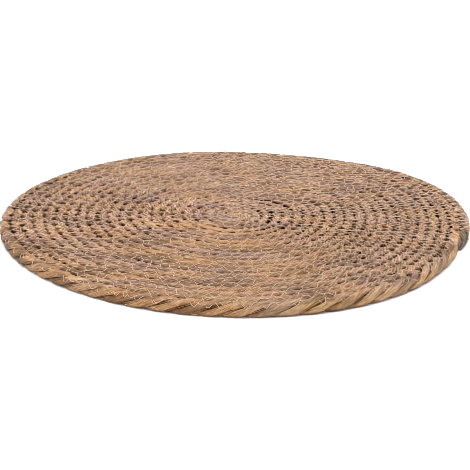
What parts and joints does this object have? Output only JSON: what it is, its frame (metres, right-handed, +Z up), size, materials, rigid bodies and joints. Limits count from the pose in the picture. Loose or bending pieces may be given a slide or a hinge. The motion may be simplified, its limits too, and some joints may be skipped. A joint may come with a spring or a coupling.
{
  "type": "coiled rope trivet",
  "caption": "Round flat table mat of one twisted rush rope wound in a spiral and sewn turn to turn, with a bare twisted rim and a tapered rope end.",
  "frame": {"origin": "on the table, under the middle of the mat's outline", "axes": "+Z up, out of the mat's top face; +X to the right and +Y away from a viewer who sees the rope's end at the front right"},
  "size_m": [0.3746, 0.3698, 0.0107],
  "materials": {
    "rush": "dull twisted rush, tan with grey-brown strands",
    "thread": "fine pale plant-fibre sewing thread"
  },
  "bodies": {
    "root": {"rope_coil": "rush"}
  },
  "joints": []
}
